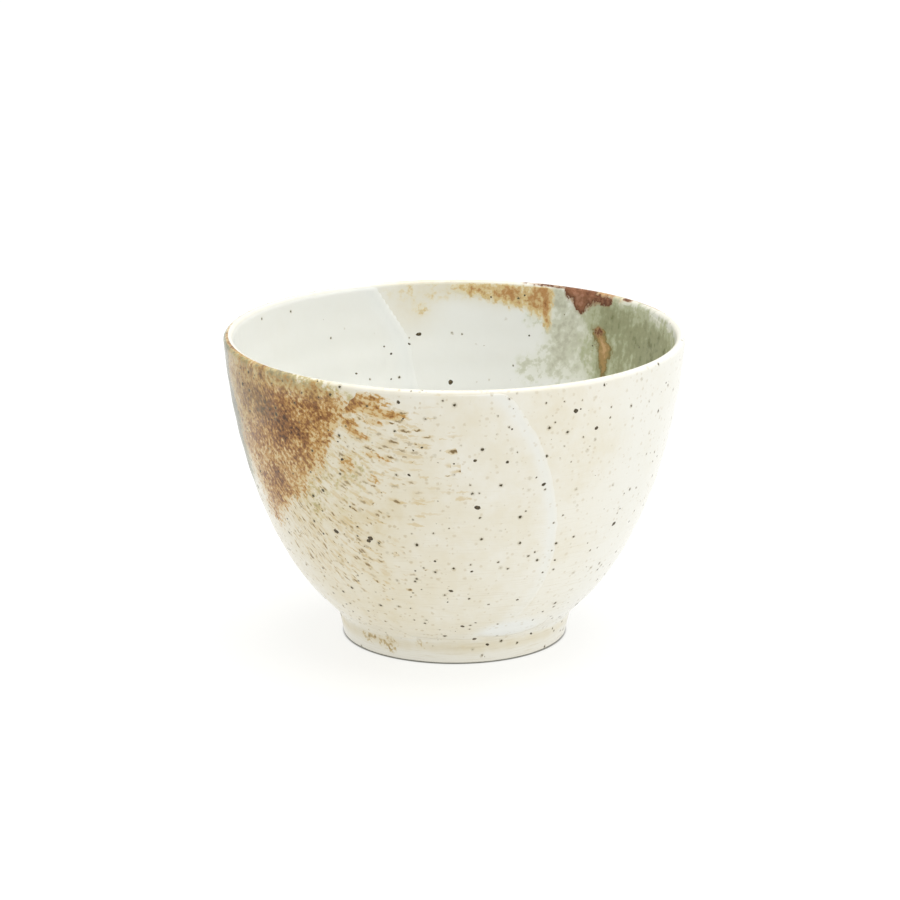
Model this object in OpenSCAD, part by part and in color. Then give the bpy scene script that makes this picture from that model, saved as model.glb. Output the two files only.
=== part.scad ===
// Matcha bowl: a thrown stoneware bowl on a turned foot ring, under two coats of white
// glaze and a splash of iron and ash glaze.
//
// Every coat is its own solid, laid on the one below in the order the potter works:
// clay, first coat, second dip, splash. The origin is the centre of the foot ring's
// standing face, +Z is up, and -Y is the bowl's front. All sizes are in millimetres.

/* [Bowl] */
// Outside diameter at the lip
bowl_d = 120; // [100:1:140]
// Height from the table to the top of the lip
bowl_h = 81; // [70:1:95]
// Thickness of the finished lip, which is a full round
lip_t = 2.4; // [2:0.1:4]
// Thickness of the finished wall just above the foot
wall_low_t = 5.2; // [4:0.1:6]
// Height of the well's floor above the table
floor_z = 11.6; // [10.5:0.1:14]

/* [Foot ring] */
// Outside diameter of the foot ring where it meets the bowl
foot_top_d = 61.8; // [56:0.2:66]
// Outside diameter of the foot ring at the table
foot_low_d = 58.6; // [52:0.2:62]
// Height of the foot ring's outer side
foot_h = 7.8; // [6:0.1:9]
// Diameter of the recess at its mouth
recess_d = 48.4; // [44:0.2:50]
// Height of the seam where the ring is luted to the bowl
lute_z = 6.6; // [5.5:0.1:6.8]
// Height of the bare clay band that is wiped clean of glaze
bare_h = 1.2; // [0.8:0.1:2]

/* [Glaze] */
// Thickness of the first white coat
coat_t = 0.5; // [0.3:0.1:0.6]
// Thickness of the thin wash on the foot ring and in its recess
wash_t = 0.3; // [0.2:0.1:0.4]
// Thickness of the second white dip
dip_t = 0.2; // [0.1:0.1:0.4]
// Thickness of the iron and ash splashes
splash_t = 0.2; // [0.1:0.1:0.4]

/* [Hidden] */

$fn = 128;
rim_r = bowl_d / 2;
lip_r = lip_t / 2;
foot_top_r = foot_top_d / 2;
foot_low_r = foot_low_d / 2;
recess_r = recess_d / 2;
lip_centre = [rim_r - lip_r, bowl_h - lip_r];
lip_lean = 4.5;   // how far the wall leans out from upright at the lip, in degrees
blend_s = 0.3;    // share of the wall's curve below which the well rounds into its floor
curve_steps = 26; // chords along each long curve
lip_steps = 6;    // chords along each half of the lip
edge_r = 0.8;     // rounding of the foot ring's standing edges
recess_draft = 1; // how much the recess narrows from its mouth to its ceiling
past = 10;        // how far a cutter runs beyond what it cuts
far = 3 * bowl_d; // size of a cutter that reaches past the whole bowl
chords = 12;      // chords along each curve of a splash's outline

// ---- Curves ----

function unit(a) = [cos(a), sin(a)];
function mix(a, b, t) = a + (b - a) * t;
function backwards(list) = [for (i = [len(list) - 1:-1:0]) list[i]];

// Point and direction of a cubic curve with control points p, at t from 0 to 1
function cubic(p, t) =
    pow(1 - t, 3) * p[0] + 3 * pow(1 - t, 2) * t * p[1] + 3 * (1 - t) * t * t * p[2] + pow(t, 3) * p[3];
function cubic_run(p, t) =
    3 * pow(1 - t, 2) * (p[1] - p[0]) + 6 * (1 - t) * t * (p[2] - p[1]) + 3 * t * t * (p[3] - p[2]);

// Point of curve p at t, moved by d to the right of the way the curve runs
function beside(p, t, d) =
    let (run = cubic_run(p, t), side = [run[1], -run[0]] / norm(run))
    cubic(p, t) + d * side;

// Finished outside of the wall, from the foot ring up to the lip
wall_curve = [
    [foot_top_r, foot_h],
    [0.77 * rim_r, 0.228 * bowl_h],
    [0.958 * rim_r, 0.59 * bowl_h],
    lip_centre + lip_r * unit(-lip_lean)
];

// Finished wall thickness at s along the wall curve
function wall_t(s) = mix(wall_low_t, lip_t, s);

// Finished floor of the well, from where it leaves the wall to the axis
well_start = beside(wall_curve, blend_s, -wall_t(blend_s));
well_run = cubic_run(wall_curve, blend_s) / norm(cubic_run(wall_curve, blend_s));
well_curve = [
    well_start,
    well_start - 0.3 * norm(well_start) * well_run,
    [0.5 * well_start[0], floor_z],
    [0, floor_z]
];

// Outlines of the finished bowl, sunk by depth d into it. Outside runs from the foot ring
// to the lip's crest, and inside from the crest to the axis.
function outside(d, s0 = 0, s1 = 1) =
    [for (i = [0:curve_steps]) beside(wall_curve, mix(s0, s1, i / curve_steps), -d)];
function outer_lip(d) =
    [for (i = [1:lip_steps]) lip_centre + (lip_r - d) * unit(mix(-lip_lean, 90, i / lip_steps))];
function inner_lip(d) =
    [for (i = [0:lip_steps - 1]) lip_centre + (lip_r - d) * unit(mix(90, 180 - lip_lean, i / lip_steps))];
function inside_wall(d) =
    [for (i = [0:curve_steps])
        let (s = mix(1, blend_s, i / curve_steps)) beside(wall_curve, s, d - wall_t(s))];
function well_floor(d) =
    [for (i = [1:curve_steps]) beside(well_curve, i / curve_steps, -d)];
function inside(d) = concat(inner_lip(d), inside_wall(d), well_floor(d));

// Ring or disc turned from an outline in radius and height
module turned(outline) {
    rotate_extrude() polygon(outline);
}

// Coat between two outlines that run the same way
module coat(skin, bed) {
    turned(concat(skin, backwards(bed)));
}

// ---- Clay ----

// Outer side of the foot ring at height z, sunk by d
function foot_side(z, d) = [mix(foot_low_r, foot_top_r, z / foot_h) - d, z];
// Inner side of the foot ring at height z, sunk by d
function recess_side(z, d) = [recess_r - recess_draft * z / lute_z + d, z];
// Rounding of a standing edge, from angle a0 to a1 about a centre
function edge(centre, a0, a1) = [for (i = [0:lip_steps]) centre + edge_r * unit(mix(a0, a1, i / lip_steps))];

// Thrown bowl: the wall and floor in one, without its foot ring
module clay_wall() {
    skin = outside(coat_t);
    color("tan") turned(concat(
        [[0, lute_z], foot_side(lute_z, wash_t)],
        skin,
        outer_lip(coat_t),
        inside(coat_t)
    ));
}

// Turned foot ring, luted to the underside. It stands on a flat, bare face.
module foot_ring() {
    outer_edge = foot_side(edge_r, edge_r + wash_t);
    inner_edge = recess_side(edge_r, edge_r + wash_t);
    color("burlywood") turned(concat(
        edge(inner_edge, 180, 270),
        edge(outer_edge, 270, 360),
        [foot_side(lute_z, wash_t), recess_side(lute_z, wash_t)]
    ));
}

// ---- First coat ----

// White glaze on the outside of the wall, up to the lip's crest
module outside_glaze() {
    color("antiquewhite") coat(concat(outside(0), outer_lip(0)), concat(outside(coat_t), outer_lip(coat_t)));
}

// White glaze on the inside, from the lip's crest to the well's floor
module inside_glaze() {
    color("whitesmoke") coat(inside(0), inside(coat_t));
}

// Thin wash on the foot ring's outer side
module foot_glaze() {
    color("wheat") turned([
        foot_side(bare_h, wash_t),
        foot_side(bare_h, 0),
        foot_side(foot_h, 0),
        outside(coat_t)[0],
        foot_side(lute_z, wash_t)
    ]);
}

// Thin wash on the bowl's underside and the foot ring's inner side
module recess_glaze() {
    color("wheat") turned([
        [0, lute_z - wash_t],
        recess_side(lute_z - wash_t, 0),
        recess_side(bare_h, 0),
        recess_side(bare_h, wash_t),
        recess_side(lute_z, wash_t),
        [0, lute_z]
    ]);
}

// ---- Second dip and splashes ----

// Layer of thickness t on the finished outside, from share s0 of the wall's curve up. It
// thins to nothing over the lip.
module outside_layer(t, s0) {
    thinning = [for (i = [1:lip_steps]) outer_lip(-t * (1 - i / lip_steps))[i - 1]];
    lip_bed = [for (i = [0:lip_steps - 2]) outer_lip(0)[i]];
    coat(concat(outside(-t, s0), thinning), concat(outside(0, s0), lip_bed));
}

// Layer of thickness t on the finished inside, below the lip
module inside_layer(t) {
    coat(concat(inside_wall(-t), well_floor(-t)), concat(inside_wall(0), well_floor(0)));
}

// All that a tilted bath of glaze reaches: azimuth is the side that is dipped, counted from
// the front towards +X, tilt is how far that side leans down, and depth is how far the flat
// surface of the bath lies from the origin
module bath(azimuth, tilt, depth) {
    rotate([tilt, 0, azimuth]) translate([-far / 2, -depth - far, -far / 2]) cube(far);
}
module outside_bath() {
    bath(-5.5, 20, 0.433 * rim_r);
}
module inside_bath() {
    bath(-88, 22, -0.145 * bowl_h);
}

// Prism that keeps what lies behind an outline, looked at from the outside at an azimuth.
// The outline runs along cubic curves, and is measured from the axis and the table.
module behind(azimuth, curves) {
    line = [for (c = curves, i = [0:chords - 1]) cubic(c, i / chords)];
    rotate([90, 0, azimuth]) linear_extrude(far) polygon(line);
}

// Second dip, which overlaps the first coat in a tongue down the front
module second_dip_outside() {
    color("white") intersection() {
        outside_layer(dip_t, 0.02);
        outside_bath();
    }
}

// Second dip on the inside, which ends at a slanting tide line across the back
module second_dip_inside() {
    color("white") intersection() {
        inside_layer(dip_t);
        inside_bath();
    }
}

// Iron and ash flung over the lip from the left of the front. It runs down in one lobe.
module iron_splash_outside() {
    top = bowl_h + past;
    color("sienna") difference() {
        intersection() {
            outside_layer(splash_t, 0.25);
            behind(-54, [
                [[27, top], [25, 66], [11, 47], [-3, 46]],
                [[-3, 46], [-15, 45], [-20, 64], [-19, top]],
                [[-19, top], [-5, top], [12, top], [27, top]]
            ]);
        }
        outside_bath();
    }
}

// Bead of red iron under the lip at the back right, with one drip below it
module iron_run_outline() {
    top = bowl_h + past;
    behind(140, [
        [[12, top], [7, 76], [5, 74], [2, 74]],
        [[2, 74], [-3, 75], [-7, 78], [-12, top]],
        [[-12, top], [-6, top], [6, top], [12, top]]
    ]);
    behind(136, [
        [[3, 77], [2, 69], [-2, 61], [-4, 60]],
        [[-4, 60], [-4, 63], [-2, 70], [-2, 77]],
        [[-2, 77], [0, 78], [2, 78], [3, 77]]
    ]);
}
module iron_run_inside() {
    color("saddlebrown") intersection() {
        inside_layer(splash_t);
        iron_run_outline();
    }
}

// Green ash pool inside, where the same throw crossed the bowl
module ash_splash_inside() {
    top = bowl_h + past;
    color("darkseagreen") difference() {
        intersection() {
            inside_layer(splash_t);
            behind(100, [
                [[38, top], [36, 66], [24, 50], [6, 46]],
                [[6, 46], [-14, 42], [-34, 66], [-37, top]],
                [[-37, top], [-12, top], [12, top], [38, top]]
            ]);
        }
        iron_run_outline();
    }
}

// Amber band under the lip at the back, where the two coats only just meet
module amber_band_inside() {
    top = bowl_h + past;
    color("goldenrod") difference() {
        intersection() {
            inside_layer(splash_t);
            behind(178, [
                [[-23, top], [-24, 70], [-12, 74], [-3, 76]],
                [[-3, 76], [5, 78], [10, 64], [22, 66]],
                [[22, 66], [27, 72], [28, 78], [28, top]],
                [[28, top], [10, top], [-10, top], [-23, top]]
            ]);
        }
        inside_bath();
        iron_run_outline();
    }
}

clay_wall();
foot_ring();
outside_glaze();
inside_glaze();
foot_glaze();
recess_glaze();
second_dip_outside();
second_dip_inside();
iron_splash_outside();
ash_splash_inside();
iron_run_inside();
amber_band_inside();
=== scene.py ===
import math
import random

import bmesh
import bpy
import numpy as np
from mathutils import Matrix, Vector, noise
from mathutils.bvhtree import BVHTree


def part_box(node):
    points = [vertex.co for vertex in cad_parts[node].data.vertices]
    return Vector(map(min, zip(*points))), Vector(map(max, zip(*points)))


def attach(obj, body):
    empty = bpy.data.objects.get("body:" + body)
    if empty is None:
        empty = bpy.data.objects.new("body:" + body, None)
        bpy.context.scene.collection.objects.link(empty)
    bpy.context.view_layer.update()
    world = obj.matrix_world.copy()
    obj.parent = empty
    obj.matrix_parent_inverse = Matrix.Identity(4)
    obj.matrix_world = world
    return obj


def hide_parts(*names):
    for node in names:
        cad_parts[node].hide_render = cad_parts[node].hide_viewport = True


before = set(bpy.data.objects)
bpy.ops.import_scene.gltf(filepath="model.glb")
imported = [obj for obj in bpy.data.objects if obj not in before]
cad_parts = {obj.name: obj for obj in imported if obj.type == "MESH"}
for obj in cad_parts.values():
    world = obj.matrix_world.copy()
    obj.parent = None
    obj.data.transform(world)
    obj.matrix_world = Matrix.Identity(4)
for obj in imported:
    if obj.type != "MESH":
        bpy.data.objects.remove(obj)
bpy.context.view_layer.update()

# ---- Thrown body ---------------------------------------------------------------------
# The bowl is one wall of pale sandy stoneware, thrown upwards on the wheel and thinned to
# a rounded lip. The fingers leave one faint spiral ring, and drying pulls it slightly oval.
# It lies wholly under glaze, so its outline is the finished one sunk by a coat's thickness.

MM = 0.001
BODY = "root"
bowl_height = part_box("outside_glaze")[1].z / MM - 0.05
lip_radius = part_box("outside_glaze")[1].x / MM - 0.05
foot_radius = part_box("foot_glaze")[1].x / MM
well_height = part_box("recess_glaze")[1].z / MM + 5.0
foot_height = 7.8
coat = 0.5              # thickness of the first glaze coat
wall_foot, wall_lip = 5.2, 2.4
lip_round = wall_lip / 2
lip_lean = 4.5          # degrees that the wall leans out at the lip
well_share = 0.3        # share of the wall's curve below which the well rounds to its floor
lip_centre = np.array((lip_radius - lip_round, bowl_height - lip_round))


def unit(degrees):
    a = np.radians(degrees)
    return np.stack((np.cos(a), np.sin(a)), -1)


def cubic(points, share):
    """Points of a cubic curve at shares from 0 to 1 of its run."""
    t = np.asarray(share, float)[..., None]
    a, b, c, d = (np.asarray(p, float) for p in points)
    return (1 - t) ** 3 * a + 3 * (1 - t) ** 2 * t * b + 3 * (1 - t) * t * t * c + t ** 3 * d


def cubic_run(points, share):
    """Direction of the same curve."""
    t = np.asarray(share, float)[..., None]
    a, b, c, d = (np.asarray(p, float) for p in points)
    run = (1 - t) ** 2 * (b - a) + 2 * (1 - t) * t * (c - b) + t * t * (d - c)
    return run / np.linalg.norm(run, axis=-1, keepdims=True)


def beside(points, share, shift):
    """Points moved by shift to the right of the way the curve runs."""
    run = cubic_run(points, share)
    right = np.stack((run[..., 1], -run[..., 0]), -1)
    return cubic(points, share) + np.asarray(shift, float)[..., None] * right


wall_curve = (
    (foot_radius, foot_height),
    (0.77 * lip_radius, 0.228 * bowl_height),
    (0.958 * lip_radius, 0.59 * bowl_height),
    lip_centre + lip_round * unit(-lip_lean),
)


def wall_thickness(share):
    return wall_foot + (wall_lip - wall_foot) * share


well_start = beside(wall_curve, well_share, -wall_thickness(well_share))
well_curve = (
    well_start,
    well_start - 0.3 * np.linalg.norm(well_start) * cubic_run(wall_curve, well_share),
    (0.5 * well_start[0], well_height),
    (0.0, well_height),
)


def outside_line(depth, count, low=0.0, high=1.0):
    """Radius and height up the outside of the wall, sunk by depth."""
    return beside(wall_curve, np.linspace(low, high, count), -depth)


def inside_line(depth, count):
    """Radius and height down the inside of the wall to the middle of the well, sunk by depth."""
    share = np.linspace(1.0, well_share, count)
    wall = beside(wall_curve, share, depth - wall_thickness(share))
    well = beside(well_curve, np.linspace(0, 1, count)[1:], -depth)
    return np.vstack((wall, well))


def lip_line(depth, start, end, count):
    """Radius and height over the round of the lip, from one angle to another, sunk by depth."""
    return lip_centre + (lip_round - np.asarray(depth))[..., None] * unit(np.linspace(start, end, count))


def piece_of(bm, name):
    """A piece in the scene from a mesh that has been built."""
    mesh = bpy.data.meshes.new(name)
    bm.to_mesh(mesh)
    bm.free()
    piece = bpy.data.objects.new(name, mesh)
    bpy.context.collection.objects.link(piece)
    return piece


def turned(name, line, steps, start=-180.0, end=180.0, closed=False):
    """A surface turned about the bowl's axis from a line of radius and height in millimetres."""
    full = end - start >= 360.0
    bm = bmesh.new()
    side = Vector((math.sin(math.radians(start)), -math.cos(math.radians(start)), 0.0))
    corners = [bm.verts.new((side * max(r, 0.0) + Vector((0, 0, z))) * MM) for r, z in line]
    edges = [bm.edges.new(pair) for pair in zip(corners, corners[1:])]
    if closed:
        edges.append(bm.edges.new((corners[-1], corners[0])))
    bmesh.ops.spin(bm, geom=corners + edges, cent=(0, 0, 0), axis=(0, 0, 1), dvec=(0, 0, 0),
                   angle=math.radians(end - start), steps=steps, use_merge=full)
    bmesh.ops.remove_doubles(bm, verts=bm.verts, dist=0.002 * MM)
    bmesh.ops.recalc_face_normals(bm, faces=bm.faces)
    piece = piece_of(bm, name)
    piece.data.shade_smooth()
    return piece


def places(piece):
    """Every corner's place in millimetres, with its radius, its azimuth from the front and height."""
    flat = np.empty(3 * len(piece.data.vertices), np.float32)
    piece.data.vertices.foreach_get("co", flat)
    place = flat.reshape(-1, 3).astype(float) / MM
    radius = np.hypot(place[:, 0], place[:, 1])
    azimuth = np.degrees(np.arctan2(place[:, 0], -place[:, 1]))
    return place, radius, azimuth, place[:, 2]


def put(piece, place):
    piece.data.vertices.foreach_set("co", (place * MM).astype(np.float32).ravel())
    piece.data.update()


def throw(piece):
    """The spiral of the potter's fingers and the pull of drying, the same on every layer."""
    place, radius, azimuth, height = places(piece)
    turn = np.radians(azimuth)
    rise = np.clip((height - foot_height) / (bowl_height - foot_height), 0, 1)
    fade = np.clip(rise * 5, 0, 1) * np.clip((1 - rise) * 4, 0, 1)
    ring = 0.05 * fade * np.sin(2 * np.pi * height / 8.5 + turn)
    oval = -0.12 * rise * (1 + np.cos(2 * turn - 1.2)) / 2
    near_axis = np.clip(radius / 12, 0, 1)
    scale = 1 + near_axis * (ring + oval) / np.maximum(radius, 1)
    dip = -0.12 * rise ** 4 * (1 + np.sin(2 * turn + 0.7)) / 2
    place[:, 0] *= scale
    place[:, 1] *= scale
    place[:, 2] += dip
    put(piece, place)


def paint(red, green, blue):
    """A colour given as 0 to 255 on a swatch, in the renderer's linear scale."""
    linear = [c / 12.92 if c <= 0.04045 else ((c + 0.055) / 1.055) ** 2.4
              for c in (red / 255, green / 255, blue / 255)]
    return (*linear, 1.0)


def wire(tree, kind, inputs=None, **settings):
    """One shader node, with its settings, and its inputs as values or as links."""
    made = tree.nodes.new("ShaderNode" + kind)
    for name, value in settings.items():
        setattr(made, name, value)
    for socket, value in (inputs or {}).items():
        if isinstance(value, bpy.types.NodeSocket):
            tree.links.new(value, made.inputs[socket])
        else:
            made.inputs[socket].default_value = value
    return made


def calc(tree, operation, *values):
    return wire(tree, "Math", dict(enumerate(values)), operation=operation).outputs[0]


def times(tree, value, share):
    return calc(tree, "MULTIPLY", value, share)


def vector(tree, operation, first, second):
    """Vector maths. SCALE takes a plain number as its second value."""
    slot = 3 if operation == "SCALE" else 1
    return wire(tree, "VectorMath", {0: first, slot: second}, operation=operation).outputs[0]


def between(tree, value, low, high):
    """0 below low, 1 above high and a smooth rise from one to the other."""
    made = wire(tree, "MapRange", {"Value": value, "From Min": low, "From Max": high},
                interpolation_type="SMOOTHSTEP")
    return made.outputs["Result"]


def scaled(tree, value, low, high, start=0.0, end=1.0):
    """The value carried in a straight line from the range start to end into low to high."""
    return wire(tree, "MapRange", {"Value": value, "From Min": start, "From Max": end,
                                   "To Min": low, "To Max": high}).outputs["Result"]


def blend(tree, cover, under, over):
    """The colour over laid on the colour under where cover is 1."""
    made = wire(tree, "Mix", {0: cover, 6: under, 7: over}, data_type="RGBA")
    return made.outputs[2]


def in_mm(tree):
    """Object coordinates in millimetres."""
    place = wire(tree, "TexCoord").outputs["Object"]
    return vector(tree, "SCALE", place, 1 / MM)


def mottle(tree, place, size, detail=2.0, roughness=0.5):
    """Cloudy noise from 0 to 1 whose patches are about size millimetres across."""
    return wire(tree, "TexNoise", {"Vector": place, "Scale": 1 / size, "Detail": detail,
                                   "Roughness": roughness}).outputs["Fac"]


def new_group(name, inputs, outputs):
    """An empty node group with its named sockets: its tree, where values come in and go out."""
    tree = bpy.data.node_groups.new(name, "ShaderNodeTree")
    for label, value in inputs.items():
        kind = "Color" if isinstance(value, tuple) and len(value) == 4 else (
            "Vector" if isinstance(value, tuple) else "Float")
        tree.interface.new_socket(label, in_out="INPUT",
                                  socket_type="NodeSocket" + kind).default_value = value
    for label, kind in outputs.items():
        tree.interface.new_socket(label, in_out="OUTPUT", socket_type="NodeSocket" + kind)
    inlet = tree.nodes.new("NodeGroupInput").outputs
    outlet = tree.nodes.new("NodeGroupOutput").inputs
    return tree, inlet, outlet


def use_group(tree, group, **values):
    """Places a group in a material. Value names are the socket names with _ for a space."""
    made = tree.nodes.new("ShaderNodeGroup")
    made.node_tree = group
    for name, value in values.items():
        socket = made.inputs[name.replace("_", " ")]
        if isinstance(value, bpy.types.NodeSocket):
            tree.links.new(value, socket)
        else:
            socket.default_value = value
    return made.outputs


def new_material(name):
    material = bpy.data.materials.new(name)
    material.use_nodes = True
    material.node_tree.nodes.clear()
    return material, material.node_tree


def surface(tree, colour, roughness, height, bump, **fixed):
    """The Principled surface of one material, with its bump and the values fixed all over it."""
    normal = wire(tree, "Bump", {"Height": height, "Strength": 1.0, "Distance": bump * MM})
    shader = wire(tree, "BsdfPrincipled", {"Base Color": colour, "Roughness": roughness,
                                           "Normal": normal.outputs[0]})
    for name, value in fixed.items():
        shader.inputs[name.replace("_", " ")].default_value = value
    end = tree.nodes.new("ShaderNodeOutputMaterial")
    tree.links.new(shader.outputs[0], end.inputs["Surface"])
    return shader


def sandy_clay(name, fine, sand, coarse):
    """Bare fired clay: a matt buff ground with fine sand, and now and then an iron grain."""
    material, tree = new_material(name)
    place = in_mm(tree)
    grain = mottle(tree, place, 0.35, 4.0, 0.7)
    cloud = mottle(tree, place, 7.0, 2.0)
    colour = blend(tree, between(tree, grain, 0.38, 0.66), fine, sand)
    colour = blend(tree, between(tree, cloud, 0.45, 0.75), colour, coarse)
    spot = wire(tree, "TexVoronoi", {"Vector": place, "Scale": 1 / 2.4, "Randomness": 1.0})
    iron = between(tree, spot.outputs["Distance"], 0.10, 0.05)
    colour = blend(tree, iron, colour, paint(92, 64, 44))
    surface(tree, colour, scaled(tree, grain, 0.62, 0.88), grain, 0.06)
    return material


body_skin = np.vstack((
    [(0.0, foot_height - 1.2), (foot_radius - 0.55, foot_height - 1.2)],
    outside_line(coat, 70),
    lip_line(np.full(8, coat), 0, 180 - lip_lean, 8),
    inside_line(coat, 40)[1:],
))
clay_wall = turned("clay_wall_thrown", body_skin, 240)
throw(clay_wall)
clay_wall.data.materials.append(
    sandy_clay("fired_clay_body", paint(214, 203, 178), paint(196, 182, 152), paint(222, 214, 194)))
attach(clay_wall, BODY)
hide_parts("clay_wall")

# ---- Foot ring -----------------------------------------------------------------------
# A ring of the same clay, turned with a trimming tool once the bowl is leather hard. Its
# flat standing face is wiped clean of glaze and rubbed smooth, so the bare clay shows.

foot_low_radius = 29.3
recess_radius = 24.2
foot_edge = 0.8         # rounding of the standing edges
lute_height = 6.6       # where the ring meets the thrown body
wash = 0.3              # thickness of the thin wash of glaze on the ring


def foot_side(height, depth=0.0):
    """The ring's outer side: radius and height."""
    height = np.asarray(height, float)
    slope = (foot_radius - foot_low_radius) / foot_height
    return np.stack((foot_low_radius + slope * height - depth, height), -1)


def recess_side(height, depth=0.0):
    """The ring's inner side: radius and height."""
    height = np.asarray(height, float)
    return np.stack((recess_radius - height / lute_height + depth, height), -1)


def edge_round(centre, start, end):
    return centre + foot_edge * unit(np.linspace(start, end, 9))


ring_line = np.vstack((
    recess_side(np.linspace(lute_height, 1.2, 12), wash),
    edge_round(recess_side(foot_edge, foot_edge + wash), 180, 270),
    [(r, 0.0) for r in np.linspace(recess_radius + 1.6, foot_low_radius - 1.6, 10)],
    edge_round(foot_side(foot_edge, foot_edge + wash), 270, 360),
    foot_side(np.linspace(1.2, lute_height, 12), wash),
))
foot_ring = turned("foot_ring_turned", ring_line, 240, closed=True)
foot_ring.data.materials.append(
    sandy_clay("bare_foot_clay", paint(224, 217, 196), paint(204, 192, 164), paint(214, 200, 170)))
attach(foot_ring, BODY)
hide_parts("foot_ring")

# ---- First white coat, outside -------------------------------------------------------
# Milky white glaze that the bowl is dipped in, held by the foot. It runs down while it
# melts: thin and cream over the lip, thick where it pools above the foot ring. Iron in the
# clay bleeds through it as dark specks.

MM_PER_DEGREE = 0.96    # along the outside, near the lip
TUCK = 0.3              # how deep a coat's edge dives under its neighbour


def uneven(place, size=9.0, amount=0.03):
    """Noise at each place, amount millimetres high, in swells about size across. The values
    that it starts with are those of a melted coat."""
    return amount * np.array([noise.noise(Vector(p) / size) for p in place])


def normals_of(piece):
    normals = np.empty(3 * len(piece.data.vertices), np.float32)
    piece.data.vertex_normals.foreach_get("vector", normals)
    return normals.reshape(-1, 3).astype(float)


def swell(piece, amount):
    """Moves every corner along the surface's own normal by amount millimetres."""
    put(piece, places(piece)[0] + normals_of(piece) * amount[:, None])


def back_shell(piece, thickness):
    """Gives a coat's skin its thickness, inwards."""
    made = piece.modifiers.new("thickness", "SOLIDIFY")
    made.thickness = thickness * MM
    made.offset = -1.0
    made.use_even_offset = True


def smooth(value):
    value = np.clip(value, 0, 1)
    return value * value * (3 - 2 * value)


def dab(azimuth, height, at, size, lean=0.0, soft=1.5):
    """A soft patch of glaze on the unrolled wall, 1 in its middle. at is azimuth and height,
    size is half its width and height in millimetres, and lean turns it clockwise."""
    across = (azimuth - at[0]) * MM_PER_DEGREE
    up = height - at[1]
    c, s = math.cos(math.radians(lean)), math.sin(math.radians(lean))
    away = ((across * c - up * s) / size[0]) ** 2 + ((across * s + up * c) / size[1]) ** 2
    return np.exp(-away ** soft)


def mask(piece, name, values):
    """Stores one value for each corner, which a material reads by its name."""
    layer = piece.data.attributes.new(name, "FLOAT", "POINT")
    layer.data.foreach_set("value", np.asarray(values, np.float32))


def flow_mask(piece, along, across):
    """Stores how far each corner lies along and across its streaks, in millimetres."""
    flow = np.stack((along, across, 0 * along), -1).astype(np.float32)
    layer = piece.data.attributes.new("flow", "FLOAT_VECTOR", "POINT")
    layer.data.foreach_set("vector", flow.ravel())


def read(tree, name, output="Fac"):
    return wire(tree, "Attribute", attribute_name=name).outputs[output]


def ragged_place(tree, start, scale, detail, amount):
    """A place moved about by noise, so that what is drawn there gets a ragged edge."""
    cloud = wire(tree, "TexNoise", {"Vector": in_mm(tree), "Scale": scale, "Detail": detail})
    shift = vector(tree, "SUBTRACT", cloud.outputs["Color"], (0.5, 0.5, 0.5))
    return vector(tree, "ADD", start, vector(tree, "SCALE", shift, amount))


def strewn(tree, place, spacing, **settings):
    """Points at random, spacing apart: how far off the nearest is, and its three dice."""
    cells = wire(tree, "TexVoronoi", {"Vector": place, "Scale": calc(tree, "DIVIDE", 1.0, spacing)},
                 **settings)
    dice = wire(tree, "SeparateColor", {0: cells.outputs["Color"]}).outputs
    return times(tree, cells.outputs["Distance"], spacing), dice


def speck_group():
    """Iron specks: the cut faces of round grains that lie at random in the coat."""
    tree, given, out = new_group(
        "iron_specks", {"Spacing": 2.6, "Size": 0.4, "Share": 0.8},
        {"Mask": "Float", "Halo": "Float"})
    away, dice = strewn(tree, ragged_place(tree, in_mm(tree), 2.2, 1.0, 0.55), given["Spacing"])
    small = calc(tree, "POWER", dice[0], 1.6)
    radius = times(tree, given["Size"], calc(tree, "MULTIPLY_ADD", small, 0.75, 0.25))
    here = calc(tree, "LESS_THAN", dice[1], given["Share"])
    ratio = calc(tree, "DIVIDE", away, radius)
    tree.links.new(times(tree, between(tree, ratio, 1.05, 0.7), here), out["Mask"])
    tree.links.new(times(tree, between(tree, ratio, 2.1, 0.8), here), out["Halo"])
    return tree


def dash_group():
    """Short dashes of iron dragged along the flow. Density is the share of them that show."""
    tree, given, out = new_group(
        "iron_dashes",
        {"Flow": (0.0, 0.0, 0.0), "Density": 0.3, "Spacing": 1.3, "Size": 0.42, "Stretch": 0.3},
        {"Mask": "Float", "Halo": "Float"})
    squeeze = wire(tree, "CombineXYZ", {"X": given["Stretch"], "Y": 1.0}).outputs[0]
    flow = vector(tree, "MULTIPLY", ragged_place(tree, given["Flow"], 1.1, 2.0, 1.3), squeeze)
    away, dice = strewn(tree, flow, given["Spacing"], voronoi_dimensions="2D")
    length = calc(tree, "MULTIPLY_ADD", calc(tree, "POWER", dice[0], 1.4), 0.8, 0.2)
    ratio = calc(tree, "DIVIDE", away, times(tree, given["Size"], length))
    here = calc(tree, "LESS_THAN", dice[1], given["Density"])
    dark = times(tree, here, calc(tree, "MULTIPLY_ADD", dice[2], 0.75, 0.25))
    tree.links.new(times(tree, between(tree, ratio, 1.15, 0.45), dark), out["Mask"])
    tree.links.new(times(tree, between(tree, ratio, 2.6, 0.8), dark), out["Halo"])
    return tree


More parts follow.
